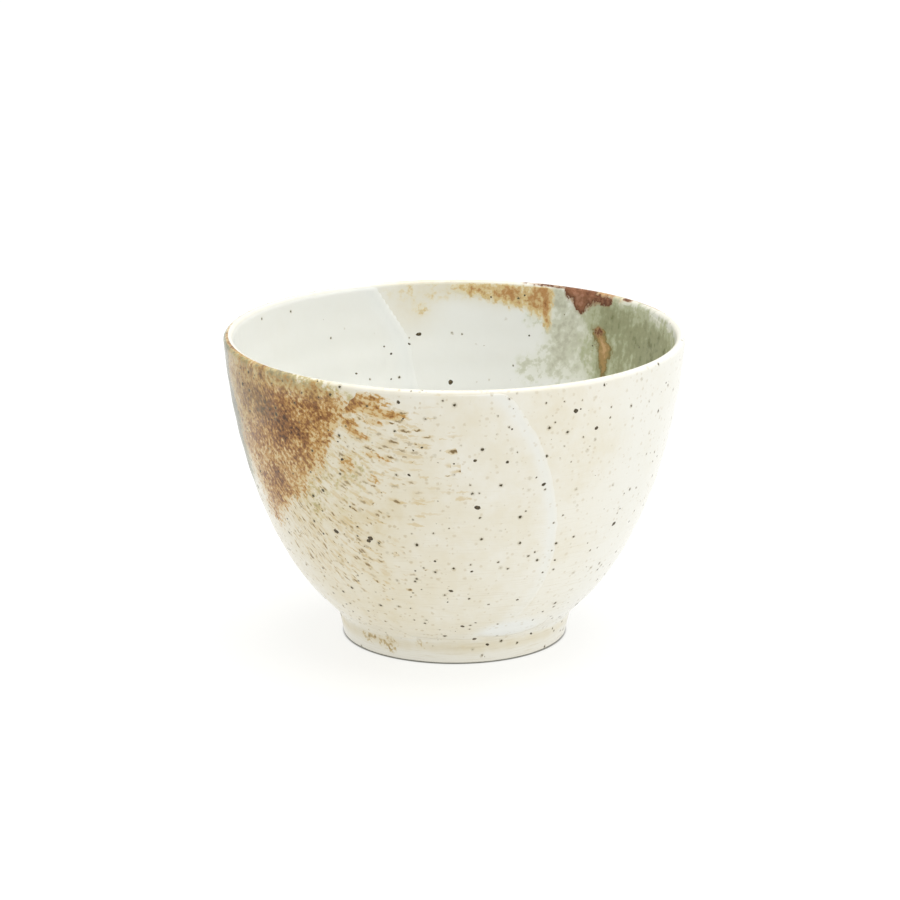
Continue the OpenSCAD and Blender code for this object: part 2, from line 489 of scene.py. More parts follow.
def stain_group():
    """A coloured glaze broken into grains: its density sets how many grains show and how deep
    their colour is. Streaks stretch the grains along the flow."""
    tree, given, out = new_group(
        "broken_stain",
        {"Density": 0.0, "Streak": 0.0, "Flow": (0.0, 0.0, 0.0), "Grain": 0.9, "Spread": 2.4,
         "Clump": 0.25, "Solid": 0.0,
         "Faint": (0.7, 0.6, 0.4, 1.0), "Middle": (0.5, 0.4, 0.2, 1.0),
         "Strong": (0.3, 0.2, 0.1, 1.0), "Core": (0.1, 0.1, 0.1, 1.0)},
        {"Colour": "Color", "Cover": "Float", "Level": "Float"})
    place = in_mm(tree)
    fineness = calc(tree, "DIVIDE", 1.0, given["Grain"])
    long = vector(tree, "MULTIPLY", given["Flow"], (0.2, 1.0, 1.0))
    grains, streaks = (
        wire(tree, "TexNoise", {"Vector": at, "Scale": fineness, "Detail": 3.0,
                                "Roughness": 0.6}).outputs["Fac"] for at in (place, long))
    pick = wire(tree, "Mix", {0: given["Streak"], 2: grains, 3: streaks}).outputs[0]
    clumps = mottle(tree, place, 4.5, 1.0)
    pick = calc(tree, "MULTIPLY_ADD", calc(tree, "SUBTRACT", clumps, 0.5), given["Clump"], pick)
    lift = times(tree, calc(tree, "SUBTRACT", pick, 0.5), given["Spread"])
    lift = times(tree, lift, between(tree, given["Density"], 0.0, 0.25))
    level = calc(tree, "ADD", given["Density"], lift)
    colour = blend(tree, between(tree, level, 0.15, 0.45), given["Faint"], given["Middle"])
    colour = blend(tree, between(tree, level, 0.45, 0.8), colour, given["Strong"])
    colour = blend(tree, between(tree, level, 0.85, 1.25), colour, given["Core"])
    tree.links.new(colour, out["Colour"])
    solid = times(tree, between(tree, given["Density"], 0.1, 0.4), given["Solid"])
    tree.links.new(calc(tree, "MAXIMUM", between(tree, level, 0.04, 0.42), solid), out["Cover"])
    tree.links.new(level, out["Level"])
    return tree


def white_group():
    """Milky glaze: cream where it is thin, cool white where it is thick, faintly clouded, with
    fine level lines from the brush and the turning tool."""
    tree, given, out = new_group(
        "milky_white", {"Warm": 0.0, "Cool": 0.0, "Lines": 0.0},
        {"Colour": "Color", "Height": "Float", "Rough": "Float"})
    place = in_mm(tree)
    cloud = mottle(tree, place, 14.0, 3.0, 0.55)
    patch = mottle(tree, place, 3.2, 3.0, 0.6)
    warm = given["Warm"]
    for swing, share in ((cloud, 1.1), (patch, 0.7)):
        warm = calc(tree, "ADD", warm, times(tree, calc(tree, "SUBTRACT", swing, 0.5), share))
    colour = blend(tree, between(tree, warm, -0.2, 0.55), MILK, CREAM)
    colour = blend(tree, between(tree, warm, 0.45, 1.15), colour, OCHRE)
    level = vector(tree, "MULTIPLY", place, (0.12, 0.12, 3.0))
    brushed = mottle(tree, level, 1.0, 3.0, 0.65)
    lines = times(tree, between(tree, brushed, 0.5, 0.75), given["Lines"])
    colour = blend(tree, lines, colour, LINE_TONE)
    colour = blend(tree, given["Cool"], colour, COOL)
    tree.links.new(colour, out["Colour"])
    waves = mottle(tree, place, 2.6, 2.0)
    pores = mottle(tree, place, 0.5, 2.0)
    tree.links.new(calc(tree, "MULTIPLY_ADD", pores, 0.18, waves), out["Height"])
    tree.links.new(scaled(tree, patch, 0.16, 0.27, 0.3, 0.7), out["Rough"])
    return tree


def tones(faint, middle, strong, core):
    """The four colours of a stain, from thin to thick."""
    return dict(Faint=paint(*faint), Middle=paint(*middle), Strong=paint(*strong), Core=paint(*core))


MILK = paint(233, 230, 218)
CREAM = paint(226, 219, 198)
OCHRE = paint(212, 196, 154)
COOL = paint(233, 234, 229)
LINE_TONE = paint(208, 197, 170)
SPECK = paint(74, 66, 46)
SPECK_HALO = paint(160, 146, 110)
FRECKLE = paint(184, 164, 122)
GLAZE_SHINE = 0.28      # a soft glaze mirrors less than window glass does
DASH = paint(118, 94, 56)
DASH_HALO = paint(208, 186, 138)
CELADON = tones((190, 190, 166), (142, 141, 112), (106, 104, 76), (86, 82, 54))
RUST = tones((212, 186, 130), (188, 144, 80), (138, 92, 46), (74, 46, 20))
OLIVE = tones((210, 200, 154), (180, 166, 112), (138, 124, 78), (100, 86, 48))

iron_specks = speck_group()
iron_dashes = dash_group()
broken_stain = stain_group()
milky_white = white_group()

IRON_THROW = (           # where iron landed outside: azimuth and height, half size, lean, strength
    ((-47, 71), (19, 8.5), 6, 0.58),
    ((-52, 68), (10, 7), 12, 0.36),
    ((-43, 62), (10, 8), 12, 0.40),
    ((-47, 53), (6, 7), 30, 0.34),
    ((-62, 60), (10, 14), 18, 0.53),
    ((-55.5, 50), (6, 9), 38, 0.57),
    ((-35, 74.5), (8, 5), 0, 0.46),
    ((-51, 69), (6, 6), 0, 0.36),
    ((-62, 42), (6, 10), 30, 0.20),
    ((-69, 74), (8, 6.5), 12, 0.44),
)
CLUSTER_THROW = (        # grains that the second dip drew to its top
    ((-27, 75), (2.0, 2.0), 10, 0.42),
    ((-26.5, 71), (2.6, 1.6), 14, 0.50),
    ((-24.5, 68.4), (3.4, 1.1), 20, 0.45),
    ((-16.5, 74.2), (4.4, 1.3), 4, 0.64),
    ((-25, 77.6), (9, 2.4), 3, 0.44),
    ((-24, 75.6), (4, 2.0), 6, 0.32),
    ((-20, 72), (3, 1.2), 8, 0.30),
    ((-28, 60), (2.5, 3), 40, 0.30),
    ((-20, 63), (4, 1.2), 20, 0.28),
    ((-21, 56.5), (2.2, 1.2), 30, 0.22),
)
ASH_THROW = (
    ((-46, 79.0), (17, 3.0), 4, 0.74),
    ((-63, 73), (10, 9), 12, 0.80),
    ((-26, 60), (8, 12), 30, 0.28),
    ((-40, 50), (12, 9), 34, 0.20),
)
CELADON_THROW = (
    ((-86, 66), (17, 15), 8, 0.95),
    ((-70, 73), (10, 10), 16, 0.85),
    ((-82, 50), (9, 13), 14, 0.6),
)
DASH_THROW = (
    ((-38, 46), (16, 13), 38, 0.80),
    ((-31, 58), (12, 9), 30, 0.80),
    ((-18, 68), (12, 9), 12, 0.70),
    ((-14, 59), (15, 11), 24, 0.40),
    ((-46, 34), (12, 10), 35, 0.70),
    ((-30, 34), (16, 10), 30, 0.45),
    ((-8, 66), (12, 9), 8, 0.14),
)
LIP_IRON = (((-78, 80.95), (17, 0.25), 0, 0.5), ((-59, 79.0), (1.6, 2.2), 0, 0.95),
            ((-54, 79.2), (1.3, 2.4), 0, 0.9))


def landed(throw_list, azimuth, height):
    """How thickly a throw of glaze lies at each place: its strongest patch, with overlaps."""
    clear = np.ones_like(azimuth)
    for at, size, lean, strength in throw_list:
        clear *= 1 - strength * dab(azimuth, height, at, size, lean)
    return 1 - clear


def outside_masks(piece, veil=1.0, clusters=0.0):
    """The masks that the outside's materials read. veil is how much iron a coat lets through,
    and clusters how many grains lie on top of it."""
    azimuth, height = places(piece)[2:]
    far = landed((((128, 76), (22, 8), -8, 0.8), ((112, 64), (9, 12), -20, 0.55),
                  ((146, 70), (7, 9), 10, 0.4)), azimuth, height)
    iron = landed(IRON_THROW, azimuth, height)
    iron *= 1 - 0.25 * dab(azimuth, height, (-45, 80.6), (20, 1.8), 4)
    iron = np.maximum(iron * veil, clusters * landed(CLUSTER_THROW, azimuth, height))
    iron = np.maximum(iron, 1.1 * landed(LIP_IRON, azimuth, height))
    mask(piece, "iron", np.maximum(iron, far))
    mask(piece, "ash", landed(ASH_THROW, azimuth, height) * (0.4 + 0.6 * veil))
    mask(piece, "celadon", landed(CELADON_THROW, azimuth, height))
    mask(piece, "dash", landed(DASH_THROW, azimuth, height) * (0.75 + 0.25 * veil)
         + 0.4 * dab(azimuth, height, (128, 56), (26, 16), -10))
    at_back = smooth((-125 - azimuth) / 50)
    mask(piece, "freckle", 0.25 + 0.5 * smooth((18 - azimuth) / 70) * (1 - at_back))
    warm = (0.45 * dab(azimuth, height, (-34, 32), (30, 22), 20)
            + 0.30 * dab(azimuth, height, (-20, 60), (17, 17), 20)
            + 0.22 * dab(azimuth, height, (34, 62), (12, 14), 0)
            + 0.14 * dab(azimuth, height, (-20, 12), (24, 5), 0)
            + 0.16 - 0.26 * np.maximum(smooth((azimuth - 20) / 20), at_back))
    mask(piece, "warm", warm)
    mask(piece, "lines", np.clip(1.2 - height / 60, 0, 1) * 0.5)
    # Streaks run level near the front, and lean further down the further left they start.
    along = azimuth * MM_PER_DEGREE
    bow = np.maximum(0, -5 - along)
    flow_mask(piece, along - height, height - 0.0146 * bow ** 2)


def with_specks(tree, colour, halo, **values):
    """The colour with iron specks and their halos laid on it, and the specks' mask."""
    speck = use_group(tree, iron_specks, **values)
    colour = blend(tree, times(tree, speck["Halo"], halo), colour, SPECK_HALO)
    return blend(tree, speck["Mask"], colour, SPECK), speck["Mask"]


def outside_material(name, cool, bump, streak=0.35):
    """White glaze with the outside's iron, ash and specks in it."""
    material, tree = new_material(name)
    white = use_group(tree, milky_white, Warm=read(tree, "warm"), Lines=read(tree, "lines"),
                      Cool=read(tree, cool) if isinstance(cool, str) else cool)
    flow = read(tree, "flow", "Vector")
    freckle = use_group(tree, iron_specks, Spacing=1.35, Size=0.34, Share=0.6)
    colour = blend(tree, times(tree, freckle["Halo"], read(tree, "freckle")),
                   white["Colour"], FRECKLE)
    celadon = use_group(tree, broken_stain, Density=read(tree, "celadon"), Grain=1.6, Spread=1.3,
                        Clump=0.4, Solid=0.95, Flow=flow, Streak=0.3, **CELADON)
    colour = blend(tree, celadon["Cover"], colour, celadon["Colour"])
    ash = use_group(tree, broken_stain, Density=read(tree, "ash"), Grain=1.2, Spread=2.2,
                    Clump=0.5, Flow=flow, Streak=0.2, **OLIVE)
    colour = blend(tree, times(tree, ash["Cover"], 0.85), colour, ash["Colour"])
    for spacing, size, stretch in ((0.9, 0.34, 0.2), (1.3, 0.5, 0.32)):
        dash = use_group(tree, iron_dashes, Flow=flow, Density=read(tree, "dash"),
                         Spacing=spacing, Size=size, Stretch=stretch)
        colour = blend(tree, times(tree, dash["Halo"], 0.75), colour, DASH_HALO)
    colour = blend(tree, dash["Mask"], colour, DASH)
    rust = use_group(tree, broken_stain, Density=read(tree, "iron"), Streak=streak, Flow=flow,
                     Grain=1.0, Spread=3.4, Clump=0.3, Solid=0.85, **RUST)
    under = calc(tree, "MAXIMUM", read(tree, "ash"), read(tree, "celadon"))
    thin = calc(tree, "MULTIPLY_ADD", under, -0.4, 1.0)
    colour = blend(tree, times(tree, rust["Cover"], thin), colour, rust["Colour"])
    share = calc(tree, "MULTIPLY_ADD", read(tree, "freckle"), 0.6, 0.4)
    colour, speck = with_specks(tree, colour, 0.4, Spacing=2.35, Size=0.48, Share=share)
    height = calc(tree, "MULTIPLY_ADD", rust["Level"], 0.35, white["Height"])
    height = calc(tree, "MULTIPLY_ADD", speck, -0.5, height)
    surface(tree, colour, white["Rough"], height, bump, Specular_IOR_Level=GLAZE_SHINE)
    return material


FILLET_TOP = 0.085      # share of the wall's curve where the sweep into the foot ring starts
foot_fillet = cubic(
    (foot_side(5.6, 0.1), foot_side(7.6), outside_line(-0.55, 2, 0.02, 0.04)[0],
     outside_line(0, 2, FILLET_TOP, 1)[0]),
    np.linspace(0, 1, 20))
foot_fillet = np.vstack(([foot_side(5.4, TUCK)], foot_fillet))
over_lip = np.linspace(0, 1, 5)[1:]
outer_skin = np.vstack((
    foot_fillet[:-1],
    outside_line(0.0, 104, FILLET_TOP, 1.0),
    lip_line(np.zeros(10), -lip_lean, 90, 10)[1:],
    lip_line(TUCK * over_lip ** 2, 97, 125, 4),
))
outside_glaze = turned("white_coat_outside", outer_skin, 300)
throw(outside_glaze)
swell(outside_glaze, uneven(places(outside_glaze)[0]))
outside_masks(outside_glaze)
azimuth = places(outside_glaze)[2]
mask(outside_glaze, "cool", 0.45 * smooth((azimuth - 34) / 22) * smooth((150 - azimuth) / 40))
back_shell(outside_glaze, coat)
outside_glaze.data.materials.append(outside_material("milk_white_outside", "cool", 0.05))
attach(outside_glaze, BODY)
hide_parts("outside_glaze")

# ---- Second white dip, outside -------------------------------------------------------
# The bowl is dipped again with its front leaning down, so a thicker, cooler tongue ends in
# two round tide lines. A bead of glaze stands along the right one, and a pale blue lens has
# pooled where the tongue meets the foot. It veils the iron that landed before it.

BATH = np.array((-0.089, -0.934, -0.345))   # the way the bath's flat surface faces
BATH_DEPTH = 26.0


def inside_bath(piece, way, depth):
    """How far each corner lies inside a bath's tide line, measured along the wall."""
    slope = np.sqrt(np.maximum(0.04, 1 - (normals_of(piece) @ way) ** 2))
    return (places(piece)[0] @ way - depth) / slope


def keep_where(piece, kept):
    """Cuts a coat back to the corners that are kept."""
    bm = bmesh.new()
    bm.from_mesh(piece.data)
    bm.verts.ensure_lookup_table()
    loose = [bm.verts[i] for i in np.flatnonzero(~kept)]
    bmesh.ops.delete(bm, geom=loose, context="VERTS")
    bm.to_mesh(piece.data)
    bm.free()


EDGE_MARGIN = 1.6       # how far beyond its edge a coat is kept, to be tucked under


def cut_back(piece, edge, margin=EDGE_MARGIN):
    """Cuts a coat back to its edge and throws it. How far its corners lie inside the edge."""
    keep_where(piece, edge(piece) > -margin)
    within = edge(piece)
    throw(piece)
    return within


def rise_from_edge(inward, thick, bead=0.0, sunk=0.14):
    """A coat's height over the one below at a distance inward from its edge: its rim is
    tucked under, then it stands up over a millimetre, with a bead where it drew back."""
    up = smooth((inward + 0.7) / 1.3)
    return -sunk + (thick + sunk) * up + bead * np.exp(-((inward - 0.75) / 0.6) ** 2)


def fade_over_lip(height, lifted):
    """Lets a coat run out to nothing as it goes over the lip."""
    over = smooth((height - bowl_height + 1.5) / 1.3)
    return lifted * (1 - over) - 0.2 * over


def tongue_edge(piece):
    """How far each corner lies inside the second dip: within its bath, or in the lens."""
    place, _, azimuth, height = places(piece)
    within = inside_bath(piece, BATH, BATH_DEPTH)
    ragged = 0.3 + 0.8 * smooth((-10 - azimuth) / 10)
    within += uneven(place, 7.0, 0.3) + ragged * uneven(place, 1.8, 1.0)
    lens_across = (azimuth - 25) * 0.55 / 10.5
    lens_up = (height - 9.6) / np.where(height < 9.6, 2.4, 5.0)
    lens = 2.3 * (1 - np.hypot(lens_across, lens_up))
    return np.maximum(within, lens), lens


second_dip = turned(
    "second_dip_tongue",
    np.vstack((foot_fillet[8:-1], outside_line(0.0, 150, FILLET_TOP, 1.0),
               lip_line(np.zeros(8), -lip_lean, 80, 8)[1:])),
    180, -46, 44)
keep_where(second_dip, tongue_edge(second_dip)[0] > -EDGE_MARGIN)
within, lens = tongue_edge(second_dip)
throw(second_dip)
azimuth, height = places(second_dip)[2:]
right = smooth((azimuth + 6) / 12)
faint = 0.35 + 0.65 * smooth((height - 22) / 12)
lifted = rise_from_edge(within, 0.09 + 0.04 * right, 0.07 * right * faint) + 0.12 * smooth(lens / 1.5)
mask(second_dip, "cool", np.clip(
    0.12 * smooth((azimuth + 12) / 30) + 0.58 * right * faint * np.exp(-((within - 1.6) / 2.0) ** 2)
    + smooth(lens / 1.6), 0, 1))
outside_masks(second_dip, 0.2 + 0.8 * np.exp(-np.maximum(within, 0) / 1.4), 1.0)
swell(second_dip, uneven(places(second_dip)[0]) + fade_over_lip(height, lifted))
back_shell(second_dip, 0.3)
second_dip.data.materials.append(outside_material("cool_white_tongue", "cool", 0.05, 0.5))
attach(second_dip, BODY)
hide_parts("second_dip_outside")

# ---- Iron splash, outside ------------------------------------------------------------
# Iron and ash glaze flung at the left of the front. It broke into rusty grains as it
# melted, olive where it is thick under the lip, and dragged into streaks further down.

SPLASH_EDGE = 0.34      # how thickly the throw has to lie to stand up as a coat of its own


def splash_edge(piece):
    azimuth, height = places(piece)[2:]
    thrown = (landed(IRON_THROW, azimuth, height) - SPLASH_EDGE) * 16
    return np.minimum(thrown, 0.6 - tongue_edge(piece)[0])


iron_splash = turned(
    "iron_splash_lobe",
    np.vstack((outside_line(0.0, 120, 0.22, 1.0), lip_line(np.zeros(8), -lip_lean, 80, 8)[1:])),
    140, -86, -20)
within = cut_back(iron_splash, splash_edge)
place, _, azimuth, height = places(iron_splash)
grains = uneven(place, 1.1, 0.035)
outside_masks(iron_splash)
swell(iron_splash, uneven(place)
      + fade_over_lip(height, rise_from_edge(within, 0.09 + grains, 0.0)))
back_shell(iron_splash, 0.25)
iron_splash.data.materials.append(outside_material("rusty_iron_glaze", 0.0, 0.09))
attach(iron_splash, BODY)
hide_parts("iron_splash_outside")

# ---- Wash on the foot ring -----------------------------------------------------------
# What ran off the dips and was wiped: a thin ochre film on the ring's outer side, rusty on
# the left under the splash, and paler near the table, where the sponge went.

foot_skin = np.vstack((
    [foot_side(0.45, foot_edge), foot_side(0.3, 0.45)],
    edge_round(foot_side(foot_edge, foot_edge), 312, 360),
    foot_side(np.linspace(1.2, 6.4, 26), 0.0),
    foot_side(np.array([6.9, 7.4]), TUCK),
))
foot_wash = turned("foot_wash_film", foot_skin, 260)
place, _, azimuth, height = places(foot_wash)
mask(foot_wash, "rust", landed((((-46, 4.4), (7, 1.6), 0, 0.32), ((-34, 4.0), (5, 2.6), 0, 0.30),
                                ((-16, 5.2), (3, 1.6), 0, 0.26), ((-130, 5), (30, 1.6), 0, 0.3),
                                ((150, 5), (28, 1.4), 0, 0.25)), azimuth, height))
level = np.exp(-((height - 4.7) / 2.0) ** 2)
mask(foot_wash, "warm", -0.3 + 0.9 * level - 0.35 * smooth((azimuth - 10) / 60))
swell(foot_wash, uneven(place, 5.0, 0.05))
back_shell(foot_wash, wash)


WASH_RUST = tones((216, 203, 168), (194, 174, 132), (152, 130, 92), (104, 84, 56))


def wash_material(name):
    """Thin film of glaze over clay, with the ring's rust and specks in it."""
    material, tree = new_material(name)
    white = use_group(tree, milky_white, Warm=read(tree, "warm"), Cool=0.0, Lines=0.55)
    rust = use_group(tree, broken_stain, Density=read(tree, "rust"), Grain=1.1, Spread=2.6,
                     Solid=0.3, **WASH_RUST)
    colour = blend(tree, rust["Cover"], white["Colour"], rust["Colour"])
    colour = with_specks(tree, colour, 0.5, Spacing=2.4, Size=0.42, Share=0.7)[0]
    surface(tree, colour, white["Rough"], white["Height"], 0.06, Specular_IOR_Level=GLAZE_SHINE)
    return material


foot_wash.data.materials.append(wash_material("ochre_foot_wash"))
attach(foot_wash, BODY)
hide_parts("foot_glaze")

# ---- Wash on the underside -----------------------------------------------------------
# The recess inside the ring keeps the same thin wash. The turning tool has left a shallow
# spiral and a small button in the middle of the clay under it.

ceiling = lute_height - wash
across = np.linspace(0, 1, 60)
recess_skin = np.vstack((
    np.stack((across * (recess_radius - 1.9), ceiling - 0.35 * np.exp(-(across * 22 / 2.6) ** 2)
              - 0.25 * across ** 4), -1),
    cubic(((recess_radius - 1.9, ceiling - 0.25), (recess_radius - 1.1, ceiling - 0.25),
           recess_side(4.9), recess_side(4.2)), np.linspace(0, 1, 10))[1:],
    recess_side(np.linspace(3.9, 1.5, 14)),
    recess_side(np.array([1.25, 1.0]), -wash - 0.15),
))
underside = turned("underside_wash_film", recess_skin, 260)
place, radius, azimuth, height = places(underside)
spiral = 0.09 * np.sin(2 * np.pi * radius / 2.6 - np.radians(azimuth)) * smooth((20 - radius) / 3)
mask(underside, "rust", landed((((20, 6), (30, 9), 0, 0.35), ((-120, 6), (40, 9), 0, 0.45)),
                               azimuth, height))
mask(underside, "warm", 0.45 + 0.3 * np.sin(np.radians(azimuth) + 1) * radius / 24)
swell(underside, uneven(place, 6.0, 0.06) + spiral * smooth(radius / 4))
back_shell(underside, wash)
underside.data.materials.append(wash_material("ochre_recess_wash"))
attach(underside, BODY)
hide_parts("recess_glaze")

# ---- First white coat, inside --------------------------------------------------------
# The same glaze, poured in, swilled round and poured out. It is smooth, greyed a little all over
# as painted shade, and stained at the back by what crossed the bowl: amber, red iron and green ash.

AMBER_THROW = (          # azimuth from the back towards the right, and height
    ((-15, 75), (10, 8.5), 44, 0.07),
    ((-9, 73), (2.0, 1.3), 20, 0.20),
    ((-3, 78.8), (13, 3.8), 0, 0.15),
    ((4, 79.4), (4, 1.8), 0, 0.30),
    ((10, 78.8), (8, 3.2), 0, 0.30),
    ((18, 77.8), (7, 4.2), 0, 0.48),
    ((24, 77), (3.4, 4.6), 0, 0.72),
    ((26.4, 72.6), (1.0, 4.6), -6, 0.72),
    ((26, 78.5), (1.3, 3.2), 0, 0.74),
)
GREEN_THROW = (
    ((60, 73), (17, 7), 6, 0.80),
    ((78, 69), (13, 9), -4, 0.90),
    ((62, 62), (14, 12), 0, 0.62),
    ((46, 74), (8, 5), 16, 0.60),
    ((49, 62), (7, 11), 0, 0.52),
    ((40, 64), (7, 9), 0, 0.22),
    ((100, 66), (10, 12), 0, 0.62),
    ((76, 50), (14, 10), 0, 0.42),
)
CREAM_THROW = (
    ((-13, 75), (9, 8), 44, 0.9),
    ((-4, 78.8), (14, 3.6), 0, 0.85),
    ((12, 77.6), (13, 4), 0, 0.8),
)
MOTTLE_THROW = (
    ((31, 70), (6, 6), 0, 0.36),
    ((36, 71), (4, 8), 0, 0.42),
    ((36, 62), (10, 8), 0, 0.40),
    ((29.5, 77.5), (3, 4), 0, 0.60),
    ((22, 72), (3, 3), 0, 0.30),
    ((23, 58), (6, 5), 0, 0.24),
)
RED_BEAD = ((30.4, 82.5), (32.0, 78.6), (36.4, 74.0), (38.8, 75.2), (41.5, 77.2), (47.5, 78.2),
            (49, 82.5))
DRIP = ((41.8, 72.0), (42.8, 68.6), (44.4, 65.4), (46.2, 62.0), (47.4, 59.2), (48.6, 59.4),
        (49.6, 64.6), (49.8, 67.6), (47.6, 69.4), (44.0, 72.4))


def from_back(piece):
    """Azimuth of each corner from the back towards the right, and its height."""
    place = places(piece)[0]
    return np.degrees(np.arctan2(place[:, 0], place[:, 1])), place[:, 2]


def within_line(azimuth, height, line):
    """How far places on the unrolled wall lie inside a closed line, in millimetres."""
    corners = np.array(line, float) * (MM_PER_DEGREE, 1.0)
    point = np.stack((azimuth * MM_PER_DEGREE, height), -1)
    nearest = np.full(len(point), 1e9)
    inside = np.zeros(len(point), bool)
    for a, b in zip(corners, np.roll(corners, -1, axis=0)):
        side = b - a
        share = np.clip(((point - a) @ side) / (side @ side), 0, 1)
        nearest = np.minimum(nearest, np.linalg.norm(point - a - share[:, None] * side, axis=1))
        crosses = (a[1] > point[:, 1]) != (b[1] > point[:, 1])
        reach = a[0] + (point[:, 1] - a[1]) * side[0] / (side[1] if side[1] else 1e-9)
        inside ^= crosses & (point[:, 0] < reach)
    return np.where(inside, nearest, -nearest)


def inside_masks(piece, veil=1.0):
    """The masks that the inside's materials read. veil is how much amber a coat lets through."""
    azimuth, height = from_back(piece)
    lip_wipe = 1 - 0.8 * smooth((height - 79.8) / 0.7)
    mask(piece, "amber", landed(AMBER_THROW, azimuth, height) * lip_wipe * veil
         + 0.9 * dab(azimuth, height, (45, 80.2), (6, 1.5)))
    mask(piece, "ash", landed(GREEN_THROW, azimuth, height))
    mask(piece, "mottle", landed(MOTTLE_THROW, azimuth, height))
    bead = smooth((within_line(azimuth, height, RED_BEAD) + 1.0) / 4.6)
    bead *= 1 - 0.75 * smooth((azimuth - 39) / 4) * smooth((height - 79.8) / 0.6)
    lip = smooth((height - 80.2) / 0.5) * landed((((31, 80.6), (10, 3), 0, 0.5),
                                                  ((53, 80.2), (1.6, 2), 0, 0.8)), azimuth, height)
    burnt = 0.5 * dab(azimuth, height, (44.0, 70.6), (1.4, 1.5))
    mask(piece, "bead", np.maximum(np.maximum(bead, lip), burnt))
    mask(piece, "drip", smooth((within_line(azimuth, height, DRIP) + 1.6) / 4.4))
    cream = landed(CREAM_THROW, azimuth, height) * veil
    mask(piece, "warm", 0.02 + 0.25 * smooth((height - 79.6) / 1.0) + 0.2 * smooth((20 - height) / 10)
         + 0.62 * cream)
    flow_mask(piece, height, azimuth * MM_PER_DEGREE)


AMBER = tones((222, 210, 172), (210, 186, 134), (182, 136, 84), (126, 78, 44))
GREEN = tones((206, 208, 188), (178, 181, 150), (148, 150, 115), (108, 109, 72))
RED = tones((160, 122, 84), (102, 64, 42), (134, 90, 62), (160, 114, 88))
DRIP_TONES = tones((156, 154, 116), (128, 114, 68), (160, 130, 80), (192, 158, 110))
GREY = tones((218, 219, 204), (202, 203, 184), (182, 181, 160), (146, 140, 114))
# A grey laid a little over the inside's white: painted shade, since the inside lies in more shade.
INSIDE_PAINTED_SHADE = paint(223, 225, 223)


def inside_material(name, cool, bump):
    """White glaze with all that crossed the bowl in it."""
    material, tree = new_material(name)
    white = use_group(tree, milky_white, Warm=read(tree, "warm"), Lines=0.0,
                      Cool=read(tree, cool) if isinstance(cool, str) else cool)
    # The white is greyed a little all over here: painted shade, not a colour of the glaze.
    colour = blend(tree, 0.3, white["Colour"], INSIDE_PAINTED_SHADE)
    flow = read(tree, "flow", "Vector")
    for mark, tones, grain, spread, streak, clump in (
            ("mottle", GREY, 1.7, 1.4, 0.0, 0.6), ("amber", AMBER, 1.3, 1.9, 0.2, 0.4),
            ("ash", GREEN, 1.4, 1.5, 0.45, 0.6), ("drip", DRIP_TONES, 1.2, 1.9, 0.3, 0.7),
            ("bead", RED, 1.3, 2.2, 0.1, 0.9)):
        stain = use_group(tree, broken_stain, Density=read(tree, mark), Flow=flow, Grain=grain,
                          Spread=spread, Streak=streak, Solid=0.85, Clump=clump, **tones)
        colour = blend(tree, stain["Cover"], colour, stain["Colour"])
    colour, speck = with_specks(tree, colour, 0.5, Spacing=3.6, Size=0.42, Share=0.4)
    height = calc(tree, "MULTIPLY_ADD", speck, -0.5, white["Height"])
    surface(tree, colour, white["Rough"], height, bump, Specular_IOR_Level=GLAZE_SHINE)
    return material


inner_line = np.vstack((
    lip_line(TUCK * over_lip[::-1] ** 2, 55, 83, 4),
    lip_line(np.zeros(10), 90, 180 - lip_lean, 10)[:-1],
    inside_line(0.0, 74),
))
inside_glaze = turned("white_coat_inside", inner_line, 290)
throw(inside_glaze)
inside_masks(inside_glaze)
height = from_back(inside_glaze)[1]
mask(inside_glaze, "cool", (0.75 - 0.65 * smooth((height - 79.6) / 1.0))
     * (1 - 0.9 * landed(CREAM_THROW, *from_back(inside_glaze))))
swell(inside_glaze, uneven(places(inside_glaze)[0]))
back_shell(inside_glaze, coat)
inside_glaze.data.materials.append(inside_material("milk_white_inside", "cool", 0.03))
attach(inside_glaze, BODY)
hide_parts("inside_glaze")

# ---- Second white dip, inside --------------------------------------------------------
# The second dip again, on the inside's left. It ends at a soft bead that slants down from
# the lip at the back.

INNER_BATH = np.array((-0.927, -0.032, -0.375))
INNER_DEPTH = -11.7


def inner_tide(piece):
    """How far each corner lies inside the inner tide line, which bulges under the lip."""
    place = places(piece)[0]
    azimuth, height = from_back(piece)
    within = inside_bath(piece, INNER_BATH, INNER_DEPTH)
    bulge = 3.2 * np.exp(-((height - 66) / 9) ** 2) * np.exp(-(azimuth / 40) ** 2)
    return within + bulge + uneven(place, 8.0, 0.4)


inner_dip = turned(
    "second_dip_swill",
    np.vstack((lip_line(np.zeros(7), 100, 180 - lip_lean, 7)[:-1], inside_line(0.0, 104))),
    360)
within = cut_back(inner_dip, inner_tide, 1.8)
height = places(inner_dip)[3]
inside_masks(inner_dip, 1 - 0.85 * smooth((within + 0.3) / 0.9))
mask(inner_dip, "cool", np.clip(0.7 + 0.3 * np.exp(-((within - 2.2) / 2.6) ** 2)
                                - 0.4 * smooth((height - 79.6) / 1.0), 0, 1))
swell(inner_dip, uneven(places(inner_dip)[0])
      + fade_over_lip(height, rise_from_edge(within, 0.12, 0.10)))
back_shell(inner_dip, 0.3)
inner_dip.data.materials.append(inside_material("cool_white_swill", "cool", 0.03))
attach(inner_dip, BODY)
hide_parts("second_dip_inside")

# ---- Amber band, green ash and red iron, inside --------------------------------------
# Three runs of the same throw on the back wall: a thin amber band under the lip, a green
# pool of melted ash on the right, and a bead of red iron with a drip below it.


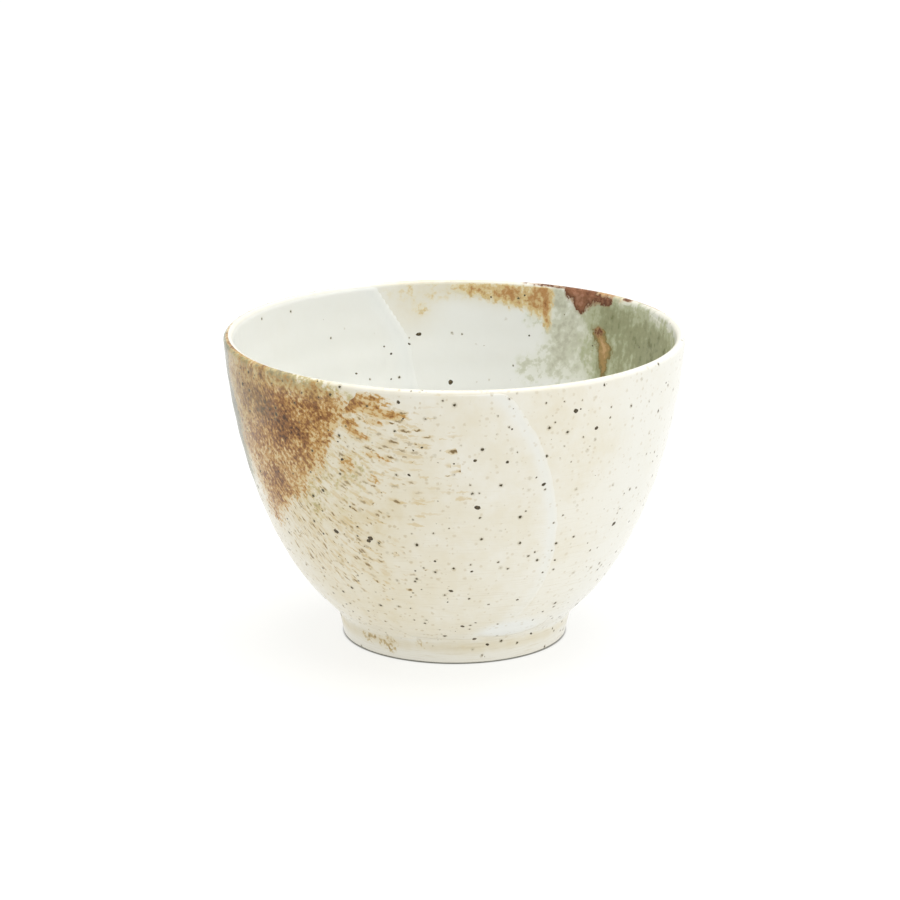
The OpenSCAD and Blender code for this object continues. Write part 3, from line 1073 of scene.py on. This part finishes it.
def run_inside(name, start, end, steps, low, edge, thick, bead, grain):
    """A run of glaze on the back wall, between two azimuths from the back, down to height low."""
    wall = inside_line(0.0, 150)
    wall = wall[wall[:, 1] > low]
    piece = turned(name, np.vstack((lip_line(np.zeros(7), 100, 180 - lip_lean, 7)[:-1], wall)),
                   steps, 180 - end, 180 - start)
    within = cut_back(piece, lambda part: edge(*from_back(part)))
    place = places(piece)[0]
    inside_masks(piece)
    lifted = rise_from_edge(within, thick + uneven(place, 1.4, grain), bead)
    swell(piece, uneven(place) + fade_over_lip(place[:, 2], lifted))
    back_shell(piece, 0.3)
    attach(piece, BODY)
    return piece


amber_band = run_inside("amber_band_run", -30, 34, 120, 60,
                        lambda a, h: (landed(AMBER_THROW, a, h) - 0.20) * 14, 0.05, 0.0, 0.02)
amber_band.data.materials.append(inside_material("amber_glaze", 0.0, 0.03))
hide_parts("amber_band_inside")

ash_pool = run_inside("green_ash_pool", 28, 122, 170, 34,
                      lambda a, h: (landed(GREEN_THROW, a, h) - 0.30) * 16, 0.10, 0.05, 0.03)
ash_pool.data.materials.append(inside_material("green_ash_glaze", 0.0, 0.05))
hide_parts("ash_splash_inside")

red_bead = run_inside("red_iron_bead", 27, 54, 130, 56,
                      lambda a, h: np.maximum(within_line(a, h, RED_BEAD), within_line(a, h, DRIP)),
                      0.22, 0.05, 0.03)
red_bead.data.materials.append(inside_material("red_iron_glaze", 0.0, 0.03))
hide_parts("iron_run_inside")

# ---- Iron spots ----------------------------------------------------------------------
# The largest grains of iron in the clay melt on their own and stand on the glaze as low,
# glassy, nearly black blisters. They lie at random, thickest on the outside's front and on
# the inside's back wall.


SPOT_SCATTER = 55.0     # degrees to either side of where they lie thickest
SPOT_LEAST = 0.5        # smallest blister across
SPOT_RANGE = 0.95       # how much wider the widest one is
CLEAR_OF_WALL = 90.0    # a radius from which a ray inwards meets the outside


def skin_of(pieces):
    """A tree of the finished skins of several coats, for casting rays at."""
    corners, faces = [], []
    for piece in pieces:
        first = len(corners)
        corners.extend(v.co.copy() for v in piece.data.vertices)
        faces.extend([first + i for i in f.vertices] for f in piece.data.polygons)
    return BVHTree.FromPolygons(corners, faces)


def blister(bm, at, up, size, stretch, turn, dice):
    """One low blister: a ragged ring sunk in the glaze, a shoulder and a top."""
    side = Vector((0, 0, 1)).cross(up).normalized()
    rise = up.cross(side)
    rings = []
    count = 12
    ragged = [dice.uniform(0.84, 1.1) for _ in range(count)]
    for share, lift in ((1.0, -0.05), (1.0, 0.0), (0.72, 0.026)):
        ring = []
        for i in range(count):
            angle = 2 * math.pi * i / count
            x = size / 2 * share * ragged[i] * stretch * math.cos(angle)
            y = size / 2 * share * ragged[i] / stretch * math.sin(angle)
            along = x * math.cos(turn) - y * math.sin(turn)
            aloft = x * math.sin(turn) + y * math.cos(turn)
            ring.append(bm.verts.new(at + (along * side + aloft * rise + lift * up) * MM))
        rings.append(ring)
    top = bm.verts.new(at + 0.034 * MM * up)
    bm.faces.new(rings[0][::-1])
    for lower, upper in zip(rings, rings[1:]):
        for i in range(count):
            bm.faces.new((lower[i], lower[(i + 1) % count], upper[(i + 1) % count], upper[i]))
    for i in range(count):
        bm.faces.new((rings[-1][i], rings[-1][(i + 1) % count], top))


def iron_spots(name, pieces, count, seed, middle, heights, inwards):
    """Blisters at random on the skins of some coats, thickest about the azimuth middle."""
    skins = skin_of(pieces)
    dice = random.Random(seed)
    spots = []
    for _ in range(count):
        azimuth = dice.gauss(middle, SPOT_SCATTER)
        size = SPOT_LEAST + SPOT_RANGE * dice.random() ** 2
        spots.append((azimuth, dice.uniform(*heights), size, dice.uniform(1.0, 1.3),
                      dice.uniform(-0.9, 0.9)))
    bm = bmesh.new()
    for azimuth, height, size, stretch, turn in spots:
        out = Vector((math.sin(math.radians(azimuth)), -math.cos(math.radians(azimuth)), 0))
        start = Vector((0, 0, height * MM))
        faces = -out if inwards else out
        if not inwards:
            start += CLEAR_OF_WALL * MM * out
        hit, up, _, _ = skins.ray_cast(start, -faces)
        if hit:
            up = up if up.dot(faces) > 0 else -up
            blister(bm, hit, up, size, stretch, turn, dice)
    piece = piece_of(bm, name)
    piece.data.shade_smooth()
    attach(piece, BODY)
    return piece


def melted_iron(name):
    """Iron that has melted to a brown-black glass."""
    material, tree = new_material(name)
    place = in_mm(tree)
    cloud = mottle(tree, place, 0.5, 2.0)
    colour = blend(tree, between(tree, cloud, 0.4, 0.7), paint(66, 58, 40), paint(98, 84, 58))
    surface(tree, colour, scaled(tree, cloud, 0.3, 0.5), cloud, 0.01, Specular_IOR_Level=0.3)
    return material


iron_glass = melted_iron("melted_iron")
outer_spots = iron_spots("iron_spots_outside", (outside_glaze, second_dip, iron_splash, foot_wash),
                         74, 5, 0.0, (2.0, 78.0), False)
outer_spots.data.materials.append(iron_glass)
inner_spots = iron_spots("iron_spots_inside",
                         (inside_glaze, inner_dip, amber_band, ash_pool, red_bead),
                         24, 8, 180.0, (30.0, 78.0), True)
inner_spots.data.materials.append(iron_glass)

# ---- Floor, light and camera ---------------------------------------------------------
# A plain white light table, under soft studio light from above and from the right. Its glow is dimmed in
# a ring under the foot's edge: a painted contact shadow.

TABLE_REACH = 4.0       # metres from the axis to the table's edge
TABLE_GAP = 0.05        # keeps the table's face out of the foot's
bm = bmesh.new()
bmesh.ops.create_grid(bm, x_segments=1, y_segments=1, size=TABLE_REACH)
bmesh.ops.translate(bm, verts=bm.verts, vec=(0, 0, -TABLE_GAP * MM))
table_top = piece_of(bm, "table_top")
material, tree = new_material("pale_table")
place = in_mm(tree)
shader = surface(tree, paint(140, 140, 139), 0.6, mottle(tree, place, 3.0), 0.002,
                 Emission_Strength=0.72)
from_axis = wire(tree, "VectorMath", {0: place}, operation="LENGTH").outputs["Value"]
# The table's glow is dimmed under and just around the foot's edge: a painted contact shadow where the
# foot stands.
glow_with_painted_contact_shadow = blend(tree, between(tree, from_axis, 29.0, 29.9), paint(90, 90, 84), paint(255, 255, 253))
tree.links.new(glow_with_painted_contact_shadow, shader.inputs["Emission Color"])
table_top.data.materials.append(material)

world = bpy.data.worlds.new("studio")
world.use_nodes = True
world.node_tree.nodes["Background"].inputs["Color"].default_value = (1.0, 1.0, 1.0, 1.0)
world.node_tree.nodes["Background"].inputs["Strength"].default_value = 0.72
bpy.context.scene.world = world


def softbox(name, place, aim, size, power):
    light = bpy.data.lights.new(name, "AREA")
    light.shape = "DISK"
    light.size = size
    light.energy = power
    lamp = bpy.data.objects.new(name, light)
    bpy.context.collection.objects.link(lamp)
    lamp.location = place
    lamp.rotation_euler = (Vector(aim) - Vector(place)).to_track_quat("-Z", "Y").to_euler()


softbox("overhead", (0.1, 0.1, 1.3), (0, 0, 0), 1.2, 14.0)
softbox("from_right", (1.1, -0.5, 0.7), (0, 0, 0.05), 0.8, 3.0)

scene = bpy.context.scene
scene.view_settings.view_transform = "Standard"
elevation = math.radians(15.88)
distance = 1.0217
aim_height = 0.049
eye = bpy.data.cameras.new("eye")
eye.sensor_width = 36.0
eye.lens = 156.1
eye.shift_x = -0.005
camera = bpy.data.objects.new("eye", eye)
bpy.context.collection.objects.link(camera)
camera.location = (0, -distance * math.cos(elevation), aim_height + distance * math.sin(elevation))
camera.rotation_euler = (math.pi / 2 - elevation, 0, 0)
scene.camera = camera
